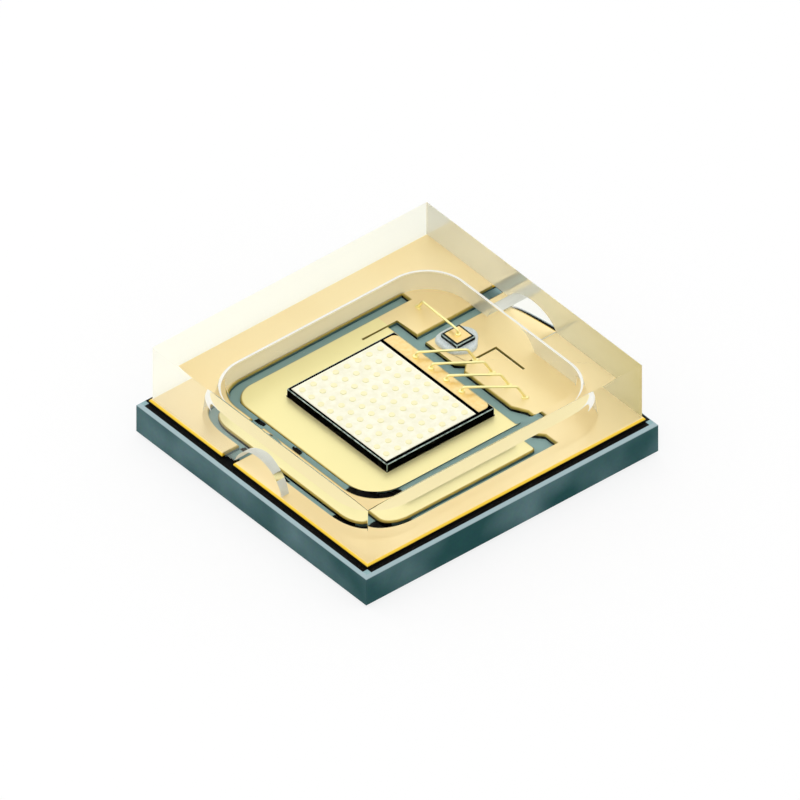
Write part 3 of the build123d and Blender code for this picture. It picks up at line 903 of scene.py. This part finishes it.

# the short sides glow more weakly; towards their near end the glow is tinted olive, a painted
# reflection of the gold
SHORT_SIDE_HAZE = 0.60
OLIVE_END = 0.2
short_side, tree, glass, mask = glass_material("sawn short side of silicone glass", SAW_ROUGHNESS)
place = add(tree, "ShaderNodeTexCoord")
place_xyz = add(tree, "ShaderNodeSeparateXYZ", {"Vector": place.outputs["Object"]})
along = add(tree, "ShaderNodeMapRange", {
    "Value": place_xyz.outputs["Y"], "From Min": cap_low.y, "From Max": OLIVE_END * MM,
})
gold_reflection_tint = add(tree, "ShaderNodeMix", {
    "Factor": along.outputs["Result"], "A": linear("#A59E66"), "B": linear("#C8C6B0"),
}, data_type="RGBA")
glow = add(tree, "ShaderNodeBsdfTranslucent", {"Color": gold_reflection_tint.outputs["Result"]})
hazy = add(tree, "ShaderNodeMath", {0: mask, 1: SHORT_SIDE_HAZE}, operation="MULTIPLY")
hazed = add(tree, "ShaderNodeMixShader", {
    "Fac": hazy.outputs["Value"], 1: glass, 2: glow.outputs["BSDF"],
})
# the saw has left a thin fog on them as well, thicker towards the far end
FOG_START = -0.3
FOG_END = 1.6
THICKEST_FOG = 0.25
fog_share = add(tree, "ShaderNodeMapRange", {
    "Value": place_xyz.outputs["Y"],
    "From Min": FOG_START * MM, "From Max": FOG_END * MM, "To Max": THICKEST_FOG,
})
fog = add(tree, "ShaderNodeBsdfDiffuse", {"Color": linear("#F6F2E4")})
fogged = add(tree, "ShaderNodeMixShader", {
    "Fac": fog_share.outputs["Result"], 1: hazed.outputs["Shader"], 2: fog.outputs["BSDF"],
})
show(tree, fogged.outputs["Shader"])

# where one looks along it, the ceiling of the hollow carries a painted satin-gold reflection in
# place of its mirror, more of it at its rim, where it also hides what a curved glass would show
# as a dark slit
reflecting_ceilings = []
for name, closing in (("ceiling with painted gold reflection", HELD_IN), ("ceiling rim with painted gold reflection", PART_HELD_IN)):
    name += " of the hollow"
    surface, tree, glass, mask = glass_material(name, roughness=0.0, closing=closing)
    painted_gold_reflection = add(tree, "ShaderNodeBsdfDiffuse", {"Color": linear("#FFF1C2")})
    ceiling_with_reflection = add(tree, "ShaderNodeMixShader", {"Fac": mask, 1: glass, 2: painted_gold_reflection.outputs["BSDF"]})
    show(tree, ceiling_with_reflection.outputs["Shader"])
    reflecting_ceilings.append(surface)
flat_ceiling, ceiling_rim = reflecting_ceilings

# the wall of the hollow is wetted by the clear bead, so it bends no light; from inside the
# hollow it looks milky, and from the glass it is clear
CLEAR_FROM_INSIDE = 0.40
wetted, tree, shader = new_material("wetted wall of the hollow")
shader.inputs["Base Color"].default_value = linear("#EFEDE4")
shader.inputs["Roughness"].default_value = 0.5
shader.inputs["Specular IOR Level"].default_value = 0.0
facing = add(tree, "ShaderNodeNewGeometry")
clearness = add(tree, "ShaderNodeMapRange", {
    "Value": facing.outputs["Backfacing"], "To Min": CLEAR_FROM_INSIDE,
})
bare = add(tree, "ShaderNodeBsdfTransparent", {"Color": linear("#FFFFFF")})
milky = add(tree, "ShaderNodeMixShader", {
    "Fac": clearness.outputs["Result"], 1: shader.outputs["BSDF"], 2: bare.outputs["BSDF"],
})
show(tree, milky.outputs["Shader"])

# the moulded radius between wall and ceiling carries a painted white highlight line where one
# looks along it or at it from the hollow, and is clear from above
CLEAR_WHERE_HELD_IN = 0.1
painted_radius_highlight, tree, shader = new_material("moulded radius with painted highlight")
shader.inputs["Base Color"].default_value = linear("#FFFFFF")
shader.inputs["Roughness"].default_value = 0.4
shader.inputs["Specular IOR Level"].default_value = 0.0
facing = add(tree, "ShaderNodeNewGeometry")
gloss = add(tree, "ShaderNodeFresnel", {"IOR": GLASS_IOR})
held_in = add(tree, "ShaderNodeMath", {
    0: gloss.outputs["Fac"], 1: HELD_IN,
}, operation="GREATER_THAN")
passing = add(tree, "ShaderNodeMapRange", {
    "Value": held_in.outputs["Value"], "To Min": 1.0, "To Max": CLEAR_WHERE_HELD_IN,
})
clearness = add(tree, "ShaderNodeMath", {
    0: passing.outputs["Result"], 1: facing.outputs["Backfacing"],
}, operation="MULTIPLY")
bare = add(tree, "ShaderNodeBsdfTransparent", {"Color": linear("#FFFFFF")})
radius_highlight_mix = add(tree, "ShaderNodeMixShader", {
    "Fac": clearness.outputs["Value"], 1: shader.outputs["BSDF"], 2: bare.outputs["BSDF"],
})
show(tree, radius_highlight_mix.outputs["Shader"])

# the arches of the vents are satin from the mould, and where light is held in they carry a
# pale painted reflection
REFLECTION_SHARE = 0.95
satin_reflecting_arch, tree, glass, mask = glass_material(
    "satin vent arch with painted reflection", roughness=0.2, closing=PART_HELD_IN,
)
painted_arch_reflection = add(tree, "ShaderNodeBsdfDiffuse", {"Color": linear("#E4E6E2")})
reflection_where = add(tree, "ShaderNodeMath", {0: mask, 1: REFLECTION_SHARE}, operation="MULTIPLY")
arch_with_reflection = add(tree, "ShaderNodeMixShader", {
    "Fac": reflection_where.outputs["Value"], 1: glass, 2: painted_arch_reflection.outputs["BSDF"],
})
show(tree, arch_with_reflection.outputs["Shader"])

# every face gets its material by its place: the slots are numbered as they are filled here
coat(
    block, clear, long_side, short_side, flat_ceiling, wetted, painted_radius_highlight, satin_reflecting_arch,
    ceiling_rim,
)
LONG_SIDE, SHORT_SIDE, CEILING, HOLLOW_WALL, RADIUS, ARCH, CEILING_RIM = range(1, 8)
# how near a face lies to its plane, to the ceiling as the first step of the radius, and to the
# arch of a vent; and how little an arch's normal leans along X, and a drafted wall's upwards
IN_PLANE = 0.0001
RIM_DROP = 0.002
ON_ARCH = 0.002
ACROSS_VENT = 0.01
DRAFTED_WALL = 0.3
for face in block.data.polygons:
    centre = face.center / MM
    from_axis = math.hypot(centre.y - VENT_SHIFT, centre.z - arch_middle)
    under_ceiling = ceiling - centre.z
    faces_down = face.normal.z < -SQUARE_ON
    stands = abs(face.normal.z) < WALL
    if stands and abs(abs(centre.y) - cap_high.y / MM) < IN_PLANE:
        face.material_index = LONG_SIDE
    elif stands and abs(abs(centre.x) - cap_high.x / MM) < IN_PLANE:
        face.material_index = SHORT_SIDE
    elif faces_down and abs(under_ceiling) < IN_PLANE:
        face.material_index = CEILING
    elif faces_down and abs(under_ceiling) < RIM_DROP:
        face.material_index = CEILING_RIM
    elif abs(face.normal.x) < ACROSS_VENT and abs(from_axis - arch_radius) < ON_ARCH:
        face.material_index = ARCH
    elif (abs(face.normal.z) < DRAFTED_WALL and under_ceiling > 0) or centre.z < foot:
        face.material_index = HOLLOW_WALL
    elif face.normal.z < 0 and under_ceiling < CEILING_RADIUS:
        face.material_index = RADIUS
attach(block, "root")
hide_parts("clear_cap", "cap_adhesive")

# The floor that the part stands on: a plain white paper sweep, which only takes its shadow,
# and which can be looked through from below.
FLOOR_SIZE = 400
FLOOR_GAP = 0.001
WHITENED = 0.8
bpy.ops.object.select_all(action="DESELECT")
bpy.ops.mesh.primitive_plane_add(size=FLOOR_SIZE * MM, location=(0, 0, -FLOOR_GAP * MM))
floor = bpy.context.object
floor.name = "studio_floor"
paper, tree, shader = new_material("white paper sweep")
shader.inputs["Base Color"].default_value = linear("#EDEDED")
shader.inputs["Roughness"].default_value = 1.0
shader.inputs["Specular IOR Level"].default_value = 0.0
# it shows as white where it is looked at, straight or by glass or metal
ray = add(tree, "ShaderNodeLightPath")
seen = add(tree, "ShaderNodeMath", {
    0: ray.outputs["Is Camera Ray"], 1: ray.outputs["Is Glossy Ray"],
}, operation="MAXIMUM")
looked_at = add(tree, "ShaderNodeMath", {
    0: seen.outputs["Value"], 1: ray.outputs["Is Transmission Ray"],
}, operation="MAXIMUM")
lifted = add(tree, "ShaderNodeMath", {
    0: looked_at.outputs["Value"], 1: WHITENED,
}, operation="MULTIPLY")
pure_white = add(tree, "ShaderNodeEmission", {"Color": linear("#FFFFFF"), "Strength": 1.0})
sheet = add(tree, "ShaderNodeMixShader", {
    "Fac": lifted.outputs["Value"], 1: shader.outputs["BSDF"], 2: pure_white.outputs["Emission"],
})
facing = add(tree, "ShaderNodeNewGeometry")
open_below = add(tree, "ShaderNodeBsdfTransparent", {"Color": linear("#FFFFFF")})
one_way = add(tree, "ShaderNodeMixShader", {
    "Fac": facing.outputs["Backfacing"], 1: sheet.outputs["Shader"], 2: open_below.outputs["BSDF"],
})
show(tree, one_way.outputs["Shader"])
coat(floor, paper)

# The light: an even white room, with one soft lamp high behind the left of the part.
# Both are plain white, and the lamp only gives the shadow a side.
ROOM_STRENGTH = 1.15
LAMP_SIZE = 20
LAMP_POWER = 0.0006
LAMP_PLACE = Vector((-14, 12, 22))
room = bpy.data.worlds.new("white room")
room.use_nodes = True
bpy.context.scene.world = room
background = room.node_tree.nodes["Background"]
background.inputs["Color"].default_value = linear("#FFFFFF")
background.inputs["Strength"].default_value = ROOM_STRENGTH

soft_box = bpy.data.lights.new("soft box", "AREA")
soft_box.shape = "SQUARE"
soft_box.size = LAMP_SIZE * MM
soft_box.energy = LAMP_POWER
lamp = bpy.data.objects.new("soft box", soft_box)
bpy.context.scene.collection.objects.link(lamp)
lamp.location = LAMP_PLACE * MM
lamp.rotation_mode = "QUATERNION"
lamp.rotation_quaternion = LAMP_PLACE.to_track_quat("Z", "Y")

# The camera looks down on the near corner. It is placed by that corner of the block,
# which the picture shows at the pixel given here, in a frame of 800 by 800.
FRAME = 800
PIXELS_PER_MM = 108.7
ELEVATION = math.radians(39.38)
AZIMUTH = math.radians(39.87)
CORNER_PIXEL = (367.7, 510.5)
CAMERA_DISTANCE = 30
towards = Vector((
    -math.sin(AZIMUTH) * math.cos(ELEVATION),
    -math.cos(AZIMUTH) * math.cos(ELEVATION),
    math.sin(ELEVATION),
))
across = Vector((math.cos(AZIMUTH), -math.sin(AZIMUTH), 0))
upwards = towards.cross(across)
near_corner = Vector((cap_low.x, cap_low.y, cap_high.z))
pixel = MM / PIXELS_PER_MM
right_of_corner = (FRAME / 2 - CORNER_PIXEL[0]) * pixel
above_corner = (CORNER_PIXEL[1] - FRAME / 2) * pixel
aim = near_corner + across * right_of_corner + upwards * above_corner
lens = bpy.data.cameras.new("view")
lens.type = "ORTHO"
lens.ortho_scale = FRAME * pixel
lens.clip_start = 1 * MM
lens.clip_end = 1000 * MM
camera = bpy.data.objects.new("view", lens)
bpy.context.scene.collection.objects.link(camera)
camera.location = aim + towards * CAMERA_DISTANCE * MM
camera.rotation_mode = "QUATERNION"
camera.rotation_quaternion = (-towards).to_track_quat("-Z", "Y")
bpy.context.scene.camera = camera
bpy.context.scene.view_settings.view_transform = "Standard"
